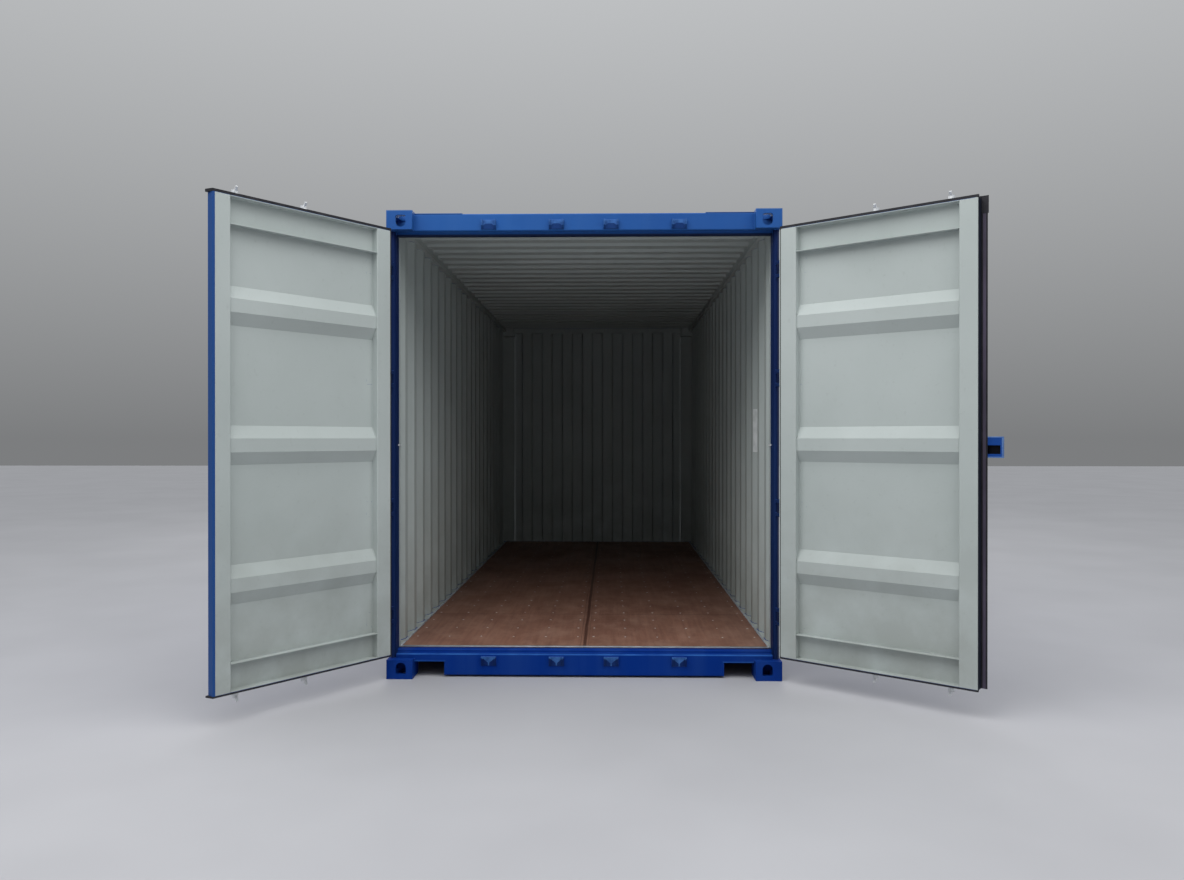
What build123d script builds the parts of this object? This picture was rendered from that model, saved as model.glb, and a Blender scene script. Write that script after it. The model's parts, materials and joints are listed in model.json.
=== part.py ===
from build123d import *
import os

os.makedirs("parts", exist_ok=True)

# Overall size of a twenty foot high cube container, in millimetres
length = 6058
width = 2438
height = 2896

# Corner fittings: hollow cast blocks with an aperture in each outer face
fitting_width = 162
fitting_length = 178
fitting_height = 118
fitting_plate = 28.5
fitting_wall = 24
fitting_inner_wall = 12
fitting_corner = 4
slot_from_side = 89.5
slot_from_end = 102.5
slot_length = 124
slot_width = 63.5
shield_height = 74
shield_corner = 14
side_shield_width = 101

# Door opening and the posts beside it
opening_side = 49
floor_top = 170
opening_drop = 141
post_recess = 7
post_thickness = 6
post_depth = 178
post_front = 46
post_notch = 8
post_slope = 30
post_return = 39
channel_setback = 62
channel_depth = 113
channel_flange = 34
channel_web = 12
door_stop = 98
bend_radius = 4
fold_hair = 0.01

# Door sill and header
frame_face = 60
member_thickness = 4.5
sill_bottom = 12
sill_ledge = 146
sill_depth = 150
sill_lip_drop = 4
sill_return = 40
notch_length = 187
notch_height = 85
notch_wall = 8
notch_lip = 3
header_drop = 10
header_depth = 178
corner_plate_length = 300
corner_plate_width = 110
corner_plate_thickness = 3

# Lashing rings on the channels of the door posts
ring_middle = 1446
ring_depth = 10
ring_length = 60
ring_rod = 10
ring_corner = 6
ring_setback = 110

# Blind end
end_rail_size = 60
end_rail_wall = 3
end_rail_inset = 7
end_rail_drop = 8
end_sill_depth = 75
end_inside = 45
end_wall_inset = 10
end_wave = 45.6
end_sheet = 2
end_face = 110
end_slope = 18

# Side rails
top_rail_size = 60
top_rail_wall = 3
top_rail_inset = 5
bottom_rail_height = 158
bottom_rail_bottom = 20
bottom_rail_flange = 48
bottom_rail_foot = 30
bottom_rail_wall = 4.5
bottom_rail_inset = 7

# Side walls and roof
side_inset = 43
side_wave = 36
side_sheet = 2
side_face = 72
side_slope = 68
ceiling_drop = 28
roof_wave = 20
roof_sheet = 2
roof_face = 91
roof_slope = 13.5

# Ventilators in two valleys of the side walls
vent_width = 68
vent_height = 120
vent_depth = 20
vent_slope = 14
vent_drop = 120
louvre_count = 4
louvre_height = 6
louvre_depth = 10
louvre_margin = 6

# Floor and what carries it
board_thickness = 28
seam_strip_width = 50
seam_strip_drop = 2
floor_side_gap = 16
floor_end_gap = 2
cross_member_flange = 45
cross_member_wall = 4
cross_member_spacing = 290
pocket_width = 360
pocket_spacing = 2080
pocket_plate = 3
pocket_strap = 200
pocket_strap_thickness = 6

# Door leaves
left_open_angle = 127.1
right_open_angle = 141.6
pin_side = 15
pin_inset = 24
pin_radius = 8
leaf_front = 40
leaf_depth = 50
leaf_gap = 10
leaf_side_gap = 10
leaf_bottom = 162
leaf_drop = 139
stile_width = 100
stile_wall = 4
stile_corner = 5
rail_height = 150
rail_wall = 4
door_sheet = 2
door_wave = 36
door_rib_face = 72
door_rib_slope = 68
door_rib_spacing = 736
door_rib_drop = 8

# Gaskets
gasket_reach = 5
gasket_rise = 15
gasket_fall = 10
gasket_depth = 14
gasket_tip = 13
gasket_root = 10
lip_reach = 30
lip_base = 24
lip_thickness = 4
lip_clearance = 5

# Hinges
hinge_inset = 228
hinge_step = 670
hinge_blade_length = 190
hinge_blade_height = 90
hinge_blade_thickness = 8
hinge_knuckle_height = 60
hinge_taper = 20
knuckle_radius = 14
lug_thickness = 20
lug_gap = 1
pin_gap = 0.3
pin_stand = 4

# Lock bars, their cams and the keepers on the frame
inner_bar = 170
outer_bar = 592
bar_radius = 17
bar_wall = 3.5
bar_inset = 20
bar_stand = 48
cam_hub_height = 26
cam_reach = 29
cam_rise = 20
cam_root = 20
cam_horn = 10
cam_toe = 5
cam_width = 14
keeper_plate = 6
keeper_width = 92
keeper_height = 56
keeper_prong = 11
keeper_depth = 20
keeper_tip = 16
keeper_foot = 6
keeper_stand = 60

# Brackets and handles on the outer face
bracket_width = 90
bracket_height = 60
bracket_plate = 5
bracket_radius = 20
bracket_sides = 8
bracket_gap = 0.4
bracket_end = 68
bracket_rise = 738
inner_handle_drop = 280
outer_handle_drop = 160
handle_length = 380
handle_height = 30
handle_grip = 24
handle_root = 46
handle_root_length = 44
handle_thickness = 9
handle_taper = 30
catch_inset = 60
catch_width = 40
catch_height = 30
catch_plate = 5
catch_gap = 5

# Lock box on the right leaf
lock_box_inset = 4
lock_box_reach = 95
lock_box_back = 64
lock_box_gap = 10
lock_box_wall = 4
lock_box_height = 112
lock_box_drop = 18
window_inset = 12
window_length = 64
window_height = 46
window_rise = 20

# Places worked out from the sizes above
door_end = -length / 2
blind_end = length / 2
half_width = width / 2
sides = {"left": -1, "right": 1}
opening_half = half_width - opening_side
opening_top = height - opening_drop
ceiling = height - ceiling_drop
board_bottom = floor_top - board_thickness
fitting_x0 = half_width - fitting_width
fitting_y1 = door_end + fitting_length
fitting_underside = height - fitting_height
side_inside = half_width - side_inset
rail_side = half_width - bottom_rail_inset
pin_x = half_width - pin_side
pin_y = door_end + pin_inset
front = door_end + leaf_front
back = front + leaf_depth
leaf_edge = opening_half - leaf_side_gap
leaf_top = height - leaf_drop
leaf_middle = (leaf_bottom + leaf_top) / 2
doors_open = {"left": left_open_angle, "right": right_open_angle}


def save(part, name):
    """Write one sub-part under its own name."""
    part.label = name
    export_step(part, f"parts/{name}.step")


def save_sides(part, name):
    """Write a piece drawn on the right, and its mirror image on the left."""
    save(part, f"{name}_right")
    save(mirror(part, about=Plane.YZ), f"{name}_left")


def block(x0, x1, y0, y1, z0, z1, mode=Mode.ADD):
    """A rectangular block between two corners, inside the current part."""
    with Locations(((x0 + x1) / 2, (y0 + y1) / 2, (z0 + z1) / 2)):
        Box(abs(x1 - x0), abs(y1 - y0), abs(z1 - z0), mode=mode)


def shifted_points(points, distance):
    """The points moved sideways by a distance, to the left of their path, with mitred corners."""
    corners = [Vector(*point) for point in points]
    normals = []
    for start, end in zip(corners, corners[1:]):
        along = (end - start).normalized()
        normals.append(Vector(-along.Y, along.X))
    moved = [corners[0] + normals[0] * distance]
    for corner, before, after in zip(corners[1:], normals, normals[1:]):
        moved.append(corner + (before + after) * (distance / (1 + before.dot(after))))
    moved.append(corners[-1] + normals[-1] * distance)
    return moved


def bent_strip(points, thickness):
    """The outline of a folded sheet: the points on one side, the thickness to their left."""
    Polygon(*points, *reversed(shifted_points(points, thickness)), align=None)


def round_bends(section, points, thickness):
    """Round the folds of a bent strip, the outside of each fold by the thickness more than the inside."""
    near_side = [Vector(*point) for point in points]
    far_side = shifted_points(points, thickness)
    insides = []
    outsides = []
    for i in range(1, len(points) - 1):
        turn = (near_side[i] - near_side[i - 1]).cross(near_side[i + 1] - near_side[i]).Z
        if turn * thickness > 0:
            insides.append(far_side[i])
            outsides.append(near_side[i])
        else:
            insides.append(near_side[i])
            outsides.append(far_side[i])
    for corners, radius in ((insides, bend_radius), (outsides, bend_radius + abs(thickness))):
        at_folds = []
        for vertex in section.vertices():
            if min((vertex.center() - corner).length for corner in corners) < fold_hair:
                at_folds.append(vertex)
        fillet(at_folds, radius=radius)


def wave_points(start, end, faces, depth, slope):
    """A trapezoid wave from start to end: outer face, slope, inner face, slope."""
    pitch = 2 * (faces + slope)
    count = int((end - start) // pitch)
    margin = (end - start - count * pitch) / 2
    points = [(start, 0)]
    for i in range(count):
        x = start + margin + i * pitch
        points.append((x + faces / 2, 0))
        points.append((x + faces / 2 + slope, depth))
        points.append((x + faces / 2 + slope + faces, depth))
        points.append((x + faces / 2 + 2 * slope + faces, 0))
    points.append((end, 0))
    return points


# Corner fitting at the door end, right-hand side, bottom
slot_x = half_width - slot_from_side
slot_y = door_end + slot_from_end


def shield(section, place, across):
    """A shield-shaped aperture with its square end on the outer plate and its round end inwards."""
    square_height = shield_height - across / 2
    with Locations((place, fitting_plate + square_height / 2)):
        Rectangle(across, square_height)
    fillet(section.vertices().group_by(Axis.Y)[0], radius=shield_corner)
    with Locations((place, fitting_plate + square_height)):
        Circle(across / 2)


with BuildPart() as fitting:
    block(fitting_x0, half_width, door_end, fitting_y1, 0, fitting_height)
    fillet(fitting.edges().filter_by(Axis.Z), radius=fitting_corner)
    block(
        fitting_x0 + fitting_inner_wall,
        half_width - fitting_wall,
        door_end + fitting_wall,
        fitting_y1 - fitting_inner_wall,
        fitting_plate,
        fitting_height - fitting_inner_wall,
        mode=Mode.SUBTRACT,
    )
    with BuildSketch(Plane.XY):
        with Locations((slot_x, slot_y)):
            SlotOverall(slot_length, slot_width, rotation=90)
    extrude(amount=fitting_plate, mode=Mode.SUBTRACT)
    with BuildSketch(Plane.XZ.offset(-door_end)) as end_aperture:
        shield(end_aperture, slot_x, slot_width)
    extrude(amount=-fitting_wall, mode=Mode.SUBTRACT)
    with BuildSketch(Plane.YZ.offset(half_width)) as side_aperture:
        shield(side_aperture, slot_y, side_shield_width)
    extrude(amount=-fitting_wall, mode=Mode.SUBTRACT)

with BuildPart() as bottom_fittings:
    add(fitting.part)
    mirror(about=Plane.YZ)
    mirror(about=Plane.XZ)
save(bottom_fittings.part, "bottom_corner_fittings")
with BuildPart() as top_fittings:
    mirror(bottom_fittings.part, about=Plane.XY.offset(height / 2))
save(top_fittings.part, "top_corner_fittings")

# Door posts: a pressed outer section and a hot rolled channel that faces the opening
post_height = fitting_underside - fitting_height
post_side = half_width - post_recess
post_back = door_end + post_depth
post_face = door_end + post_front
post_corner = pin_x - post_notch
post_lip = opening_half + channel_web - post_thickness
channel_front = door_end + channel_setback
channel_back = channel_front + channel_depth
post_points = [
    (post_lip, channel_front),
    (post_lip, post_face),
    (post_corner, post_face),
    (post_side, post_face + post_slope),
    (post_side, post_back),
    (half_width - post_return, post_back),
]
channel_points = [
    (opening_half + channel_flange, channel_front),
    (opening_half, channel_front),
    (opening_half, channel_back),
    (opening_half + channel_flange, channel_back),
]
with BuildPart() as door_post:
    with BuildSketch(Plane.XY.offset(fitting_height)) as pressed_section:
        bent_strip(post_points, post_thickness)
        round_bends(pressed_section, post_points, post_thickness)
    extrude(amount=post_height)
    with BuildSketch(Plane.XY.offset(fitting_height)):
        bent_strip(channel_points, -channel_web)
    extrude(amount=post_height)
save_sides(door_post.part, "door_post")

# Lashing rings: a bent rod on the channel of each door post
with BuildPart() as lashing_ring:
    with BuildSketch(Plane.XY.offset(ring_middle - ring_rod / 2)):
        with Locations((opening_half, door_end + ring_setback + ring_length / 2)):
            RectangleRounded(2 * ring_depth, ring_length, radius=ring_corner)
            Rectangle(2 * (ring_depth - ring_rod / 2), ring_length - 2 * ring_rod, mode=Mode.SUBTRACT)
    extrude(amount=ring_rod)
    block(opening_half, half_width, door_end, blind_end, 0, height, mode=Mode.SUBTRACT)
with BuildPart() as lashing_rings:
    add(lashing_ring.part)
    mirror(about=Plane.YZ)
save(lashing_rings.part, "lashing_rings")

# Door sill: a folded section with a low ledge under the leaves and a step behind them
sill_front = door_end + frame_face
sill_back = door_end + sill_depth
stop_y = door_end + door_stop
sill_points = [
    (sill_back, board_bottom),
    (sill_back, floor_top - sill_lip_drop),
    (stop_y, floor_top - sill_lip_drop),
    (stop_y, sill_ledge),
    (sill_front, sill_ledge),
    (sill_front, sill_bottom),
    (sill_back, sill_bottom),
    (sill_back, sill_bottom + sill_return),
]
notch_end = fitting_x0 - notch_length
notch_top = sill_bottom + notch_height
with BuildPart() as sill:
    with BuildSketch(Plane.YZ.offset(-opening_half)) as sill_section:
        bent_strip(sill_points, member_thickness)
        round_bends(sill_section, sill_points, member_thickness)
    extrude(amount=2 * opening_half)
    for side in sides.values():
        fitting_end = side * fitting_x0
        block(fitting_end, side * half_width, door_end, sill_back, 0, fitting_height, mode=Mode.SUBTRACT)
        block(side * notch_end, fitting_end, door_end, sill_back, 0, notch_top, mode=Mode.SUBTRACT)
        cheek = side * (notch_end - notch_wall)
        block(side * notch_end, cheek, sill_front, sill_back, sill_bottom, notch_top + notch_wall)
        lip_front = sill_front - notch_lip
        block(cheek, fitting_end, lip_front, sill_back, notch_top, notch_top + notch_wall)
save(sill.part, "door_sill")

# Door header: a folded box that drops to a lip behind the leaves
header_back = door_end + header_depth
header_top = height - header_drop
header_points = [
    (header_back, ceiling),
    (header_back, opening_top),
    (stop_y, opening_top),
    (stop_y, fitting_underside),
    (sill_front, fitting_underside),
    (sill_front, header_top),
    (header_back, header_top),
]
with BuildPart() as header:
    with BuildSketch(Plane.YZ.offset(-opening_half)) as header_section:
        bent_strip(header_points, -member_thickness)
        round_bends(header_section, header_points, -member_thickness)
    extrude(amount=2 * opening_half)
    for side in sides.values():
        x0 = side * fitting_x0
        x1 = side * half_width
        block(x0, x1, door_end, header_back, fitting_underside, height, mode=Mode.SUBTRACT)
save(header.part, "door_header")

# Cam keepers on header and sill: a back plate with a tapered prong on each side of the cam
keeper_front = sill_front - keeper_plate
bars = {"inner": inner_bar, "outer": outer_bar}
keeper_places = [side * offset for side in sides.values() for offset in bars.values()]


def keeper(x, middle_z):
    """One keeper: a plate against the frame, and two prongs that are deepest at their top."""
    z0 = middle_z - keeper_height / 2
    z1 = middle_z + keeper_height / 2
    block(x - keeper_width / 2, x + keeper_width / 2, keeper_front, sill_front, z0, z1)
    for left_side in (x - keeper_width / 2, x + keeper_width / 2 - keeper_prong):
        with BuildSketch(Plane.YZ.offset(left_side)) as prong:
            Polygon(
                (keeper_front, z0),
                (keeper_front, z1),
                (keeper_front - keeper_depth, z1),
                (keeper_front - keeper_depth, z1 - keeper_tip),
                (keeper_front - keeper_foot, z0),
                align=None,
            )
        extrude(prong.sketch, amount=keeper_prong)


with BuildPart() as header_keepers:
    for x in keeper_places:
        keeper(x, leaf_top + keeper_stand)
save(header_keepers.part, "header_cam_keepers")

with BuildPart() as sill_keepers:
    for x in keeper_places:
        keeper(x, leaf_bottom - keeper_stand)
save(sill_keepers.part, "sill_cam_keepers")

# Blind end: corner posts, top rail and sill
end_face_y = blind_end - post_recess
end_post_points = [
    (side_inside, blind_end - post_depth),
    (post_side, blind_end - post_depth),
    (post_side, end_face_y),
    (fitting_x0, end_face_y),
    (fitting_x0, blind_end - end_inside),
]
with BuildPart() as end_post:
    with BuildSketch(Plane.XY.offset(fitting_height)) as end_post_section:
        bent_strip(end_post_points, post_thickness)
        round_bends(end_post_section, end_post_points, post_thickness)
    extrude(amount=post_height)
save_sides(end_post.part, "end_post")

end_rail_top = height - end_rail_drop
end_rail_y1 = blind_end - end_rail_inset
with BuildPart() as end_rail:
    with BuildSketch(Plane.YZ.offset(-fitting_x0)):
        with Locations((end_rail_y1 - end_rail_size / 2, end_rail_top - end_rail_size / 2)):
            Rectangle(end_rail_size, end_rail_size)
            Rectangle(end_rail_size - 2 * end_rail_wall, end_rail_size - 2 * end_rail_wall, mode=Mode.SUBTRACT)
    extrude(amount=2 * fitting_x0)
save(end_rail.part, "end_top_rail")

end_sill_back = blind_end - end_inside - end_sill_depth
end_sill_points = [
    (end_sill_back, board_bottom),
    (end_face_y, board_bottom),
    (end_face_y, sill_bottom),
    (end_sill_back, sill_bottom),
]
with BuildPart() as end_sill:
    with BuildSketch(Plane.YZ.offset(-fitting_x0)) as end_sill_section:
        bent_strip(end_sill_points, -member_thickness)
        round_bends(end_sill_section, end_sill_points, -member_thickness)
    extrude(amount=2 * fitting_x0)
save(end_sill.part, "end_sill")

# Side rails
rail_length = length - 2 * fitting_length
top_rail_top = height - post_recess
with BuildPart() as top_rail:
    with BuildSketch(Plane.XZ.offset(-fitting_y1)):
        with Locations((half_width - top_rail_inset - top_rail_size / 2, top_rail_top - top_rail_size / 2)):
            Rectangle(top_rail_size, top_rail_size)
            Rectangle(top_rail_size - 2 * top_rail_wall, top_rail_size - 2 * top_rail_wall, mode=Mode.SUBTRACT)
    extrude(amount=-rail_length)
save_sides(top_rail.part, "top_side_rail")

bottom_rail_top = bottom_rail_bottom + bottom_rail_height
bottom_rail_points = [
    (rail_side - bottom_rail_foot, bottom_rail_bottom),
    (rail_side, bottom_rail_bottom),
    (rail_side, bottom_rail_top),
    (rail_side - bottom_rail_flange, bottom_rail_top),
]
pocket_top = board_bottom - pocket_plate
pocket_half = pocket_width / 2
pocket_middles = (-pocket_spacing / 2, pocket_spacing / 2)
with BuildPart() as bottom_rail:
    with BuildSketch(Plane.XZ.offset(-fitting_y1)) as bottom_rail_section:
        bent_strip(bottom_rail_points, bottom_rail_wall)
        round_bends(bottom_rail_section, bottom_rail_points, bottom_rail_wall)
    extrude(amount=-rail_length)
    for y in pocket_middles:
        block(fitting_x0, half_width, y - pocket_half, y + pocket_half, 0, pocket_top, mode=Mode.SUBTRACT)
save_sides(bottom_rail.part, "bottom_side_rail")

# Side walls: corrugated sheet between the rails
wall_top = top_rail_top - top_rail_size
side_points = wave_points(post_back, -post_back, side_face, side_wave, side_slope)
with BuildPart() as side_wall:
    with BuildSketch(Plane.XY.offset(bottom_rail_top)):
        bent_strip([(side_inside + side_wave - depth, y) for y, depth in side_points], -side_sheet)
    extrude(amount=wall_top - bottom_rail_top)
save_sides(side_wall.part, "side_wall")

# Ventilators: a hooded box with louvres, in the second valley from the door end and from the blind end
valley_edges = [y for y, depth in side_points if depth > 0]
vent_middle = (valley_edges[2] + valley_edges[3]) / 2
vent_top = wall_top - vent_drop
vent_seat = side_inside + side_sheet
with BuildPart() as ventilator:
    with BuildSketch(Plane.XZ.offset(-vent_middle - vent_width / 2)):
        Polygon(
            (vent_seat, vent_top - vent_height),
            (vent_seat + vent_depth, vent_top - vent_height + vent_slope),
            (vent_seat + vent_depth, vent_top - vent_slope),
            (vent_seat, vent_top),
            align=None,
        )
    extrude(amount=vent_width)
    louvre_step = (vent_height - 2 * vent_slope) / louvre_count
    for i in range(louvre_count):
        louvre_z = vent_top - vent_slope - (i + 1 / 2) * louvre_step
        block(
            vent_seat + vent_depth - louvre_depth,
            vent_seat + vent_depth,
            vent_middle - vent_width / 2 + louvre_margin,
            vent_middle + vent_width / 2 - louvre_margin,
            louvre_z - louvre_height / 2,
            louvre_z + louvre_height / 2,
            mode=Mode.SUBTRACT,
        )
with BuildPart() as ventilators:
    add(ventilator.part.rotate(Axis.Z, 180))
    add(ventilator.part)
save(ventilators.part, "ventilators")

# End wall
end_wall_top = end_rail_top - end_rail_size
end_wall_y = blind_end - end_wall_inset
with BuildPart() as end_wall:
    with BuildSketch(Plane.XY.offset(board_bottom)):
        points = wave_points(-fitting_x0, fitting_x0, end_face, end_wave, end_slope)
        bent_strip([(x, end_wall_y - depth) for x, depth in points], end_sheet)
    extrude(amount=end_wall_top - board_bottom)
save(end_wall.part, "end_wall")

# Roof: corrugated sheet with waves across the container
roof_y1 = end_rail_y1 - end_rail_size
roof_half = half_width - top_rail_inset - top_rail_size
with BuildPart() as roof:
    with BuildSketch(Plane.YZ.offset(-roof_half)):
        points = wave_points(header_back, roof_y1, roof_face, roof_wave, roof_slope)
        bent_strip([(y, ceiling + roof_wave - depth) for y, depth in points], roof_sheet)
    extrude(amount=2 * roof_half)
    for side in sides.values():
        x0 = side * fitting_x0
        x1 = side * half_width
        block(x0, x1, -fitting_y1, blind_end, fitting_underside, height, mode=Mode.SUBTRACT)
save(roof.part, "roof_panel")

# Plates on the roof frame beside the top fittings
plate_x0 = fitting_x0 - corner_plate_length
with BuildPart() as corner_plates:
    for side in sides.values():
        x0 = side * plate_x0
        x1 = side * fitting_x0
        plate_back = sill_front + corner_plate_width
        block(x0, x1, sill_front, plate_back, header_top, header_top + corner_plate_thickness)
        block(x0, x1, roof_y1, end_rail_y1, end_rail_top, end_rail_top + corner_plate_thickness)
save(corner_plates.part, "roof_corner_plates")

# Floor boards and the strip between them
floor_y1 = end_wall_y - end_wave - end_sheet - floor_end_gap
floor_half = side_inside - floor_side_gap
seam_half = seam_strip_width / 2
with BuildPart() as floor:
    for side in sides.values():
        block(side * seam_half, side * floor_half, sill_back, floor_y1, board_bottom, floor_top)
save(floor.part, "plywood_floor")
with BuildPart() as seam_strip:
    block(-seam_half, seam_half, sill_back, floor_y1, board_bottom, floor_top - seam_strip_drop)
save(seam_strip.part, "floor_centre_strip")

# Cross members under the floor: channels that rest on the bottom flanges of the side rails
member_bottom = bottom_rail_bottom + bottom_rail_wall
member_half = rail_side - bottom_rail_wall - bend_radius


def spaced(start, end):
    """Evenly spaced places between two ends, without the ends."""
    gaps = round((end - start) / cross_member_spacing)
    return [start + (end - start) * i / gaps for i in range(1, gaps)]


def cross_member(y, turn):
    """One channel across the container, its flanges towards turn."""
    points = [
        (y + turn * cross_member_flange, board_bottom),
        (y, board_bottom),
        (y, member_bottom),
        (y + turn * cross_member_flange, member_bottom),
    ]
    with BuildSketch(Plane.YZ.offset(-member_half)) as section:
        bent_strip(points, turn * cross_member_wall)
    extrude(section.sketch, amount=2 * member_half)


with BuildPart() as cross_members:
    first, last = pocket_middles
    for middle in pocket_middles:
        cross_member(middle - pocket_half, -1)
        cross_member(middle + pocket_half, 1)
    for y in spaced(sill_back, first - pocket_half):
        cross_member(y, 1)
    for y in spaced(first + pocket_half, last - pocket_half):
        cross_member(y, 1)
    for y in spaced(last + pocket_half, end_sill_back):
        cross_member(y, 1)
save(cross_members.part, "cross_members")

# Forklift pockets: a roof plate and a strap at each end, between two cross members
with BuildPart() as pockets:
    for middle in pocket_middles:
        y0 = middle - pocket_half
        y1 = middle + pocket_half
        block(-member_half, member_half, y0, y1, pocket_top, board_bottom)
        for side in sides.values():
            strap_end = side * (rail_side - pocket_strap)
            strap_top = bottom_rail_bottom + pocket_strap_thickness
            block(side * rail_side, strap_end, y0, y1, bottom_rail_bottom, strap_top)
save(pockets.part, "forklift_pockets")

# Hinge lugs on the door posts, in pairs with a pin through each pair
knuckle_half = hinge_knuckle_height / 2
hinge_heights = [
    leaf_bottom + hinge_inset,
    leaf_bottom + hinge_inset + hinge_step,
    leaf_top - hinge_inset - hinge_step,
    leaf_top - hinge_inset,
]
slope_share = (pin_x - post_corner) / (post_side - post_corner)
lug_outline = [
    (pin_x - knuckle_radius, pin_y),
    (post_lip + post_thickness, post_face),
    (post_corner - bend_radius, post_face),
    (pin_x, post_face + post_slope * slope_share),
    (pin_x + knuckle_radius, pin_y),
]
with BuildPart() as lugs:
    for z in hinge_heights:
        lower_z = z - knuckle_half - lug_gap - lug_thickness
        for z0 in (lower_z, z + knuckle_half + lug_gap):
            with BuildSketch(Plane.XY.offset(z0)):
                Polygon(*lug_outline, align=None)
                with Locations((pin_x, pin_y)):
                    Circle(knuckle_radius)
            extrude(amount=lug_thickness)
        pin_z0 = lower_z - pin_stand
        with BuildSketch(Plane.XY.offset(pin_z0)):
            with Locations((pin_x, pin_y)):
                Circle(pin_radius)
        extrude(amount=2 * (z - pin_z0))
    add(door_post.part, mode=Mode.SUBTRACT)
save_sides(lugs.part, "hinge_lugs")


# Door leaves. Each piece is drawn on the right-hand leaf, closed, then hung at its open angle
def hang(part, name):
    """The piece on its own leaf, turned about the hinge pins to where the leaf stands open."""
    side = sides[name]
    if side < 0:
        part = mirror(part, about=Plane.YZ)
    return part.rotate(Axis((side * pin_x, pin_y, 0), (0, 0, 1)), side * doors_open[name])


def save_both(part, name):
    """Write one piece for each leaf."""
    for side_name in sides:
        save(hang(part, side_name), f"{side_name}_door_{name}")


with BuildPart() as stiles:
    with BuildSketch(Plane.XY.offset(leaf_bottom)):
        for x in (leaf_gap + stile_width / 2, leaf_edge - stile_width / 2):
            with Locations((x, front + leaf_depth / 2)):
                RectangleRounded(stile_width, leaf_depth, radius=stile_corner)
                Rectangle(stile_width - 2 * stile_wall, leaf_depth - 2 * stile_wall, mode=Mode.SUBTRACT)
    extrude(amount=leaf_top - leaf_bottom)
save_both(stiles.part, "stiles")

panel_x0 = leaf_gap + stile_width
panel_x1 = leaf_edge - stile_width
with BuildPart() as rails:
    for z0 in (leaf_bottom, leaf_top - rail_height):
        z1 = z0 + rail_height
        points = [(back, z0), (front, z0), (front, z1), (back, z1)]
        with BuildSketch(Plane.YZ.offset(panel_x0)) as rail_section:
            bent_strip(points, -rail_wall)
            round_bends(rail_section, points, -rail_wall)
        extrude(amount=panel_x1 - panel_x0)
save_both(rails.part, "rails")

rib_middle = leaf_middle - door_rib_drop
rib_half = door_rib_face / 2
panel_points = [(front, leaf_bottom + rail_height)]
for z in (rib_middle - door_rib_spacing, rib_middle, rib_middle + door_rib_spacing):
    panel_points.append((front, z - rib_half - door_rib_slope))
    panel_points.append((front + door_wave, z - rib_half))
    panel_points.append((front + door_wave, z + rib_half))
    panel_points.append((front, z + rib_half + door_rib_slope))
panel_points.append((front, leaf_top - rail_height))
with BuildPart() as panel:
    with BuildSketch(Plane.YZ.offset(panel_x0)):
        bent_strip(panel_points, -door_sheet)
    extrude(amount=panel_x1 - panel_x0)
save_both(panel.part, "panel")

# Gaskets: lips along top, bottom and hinge edge, a tip at the free corners of the left leaf, and a flat
# lip on the right leaf that laps over the meeting edge of the left one
seal_edge = leaf_edge + gasket_reach
seal_front = back - gasket_depth
lip_back = front - lip_clearance
for name in sides:
    with BuildPart() as gasket:
        for z0, z1 in ((leaf_top, leaf_top + gasket_rise), (leaf_bottom - gasket_fall, leaf_bottom)):
            block(leaf_gap, seal_edge, seal_front, back, z0, z1)
            if name == "left":
                with BuildSketch(Plane.XY.offset(z0)):
                    Polygon(
                        (leaf_gap + gasket_root, back),
                        (leaf_gap + gasket_root, front),
                        (leaf_gap - gasket_tip, front),
                        (leaf_gap, back),
                        align=None,
                    )
                extrude(amount=z1 - z0)
        block(leaf_edge, seal_edge, seal_front, back, leaf_bottom, leaf_top)
        if name == "right":
            lip_edge = leaf_gap + lip_base
            block(leaf_gap - lip_reach, lip_edge, lip_back - lip_thickness, lip_back, leaf_bottom, leaf_top)
            block(leaf_gap + lip_thickness, lip_edge, lip_back, front, leaf_bottom, leaf_top)
    save(hang(gasket.part, name), f"{name}_door_gasket")

# Hinge blades: a strap on the leaf with a knuckle round the pin
with BuildPart() as blades:
    for z in hinge_heights:
        with BuildSketch(Plane.XY.offset(z - knuckle_half)):
            with Locations((pin_x, pin_y)):
                Circle(knuckle_radius)
            Polygon(
                (leaf_edge, front),
                (leaf_edge, front - hinge_blade_thickness),
                (pin_x, front - hinge_blade_thickness),
                (pin_x, front - pin_gap),
                align=None,
            )
            with Locations((pin_x, pin_y)):
                Circle(pin_radius + pin_gap, mode=Mode.SUBTRACT)
        extrude(amount=hinge_knuckle_height)
        with BuildSketch(Plane.XZ.offset(-front)):
            Polygon(
                (leaf_edge, z - knuckle_half),
                (leaf_edge - hinge_taper, z - hinge_blade_height / 2),
                (pin_x - hinge_blade_length, z - hinge_blade_height / 2),
                (pin_x - hinge_blade_length, z + hinge_blade_height / 2),
                (leaf_edge - hinge_taper, z + hinge_blade_height / 2),
                (leaf_edge, z + knuckle_half),
                align=None,
            )
        extrude(amount=hinge_blade_thickness)
save_both(blades.part, "hinge_blades")

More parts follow.
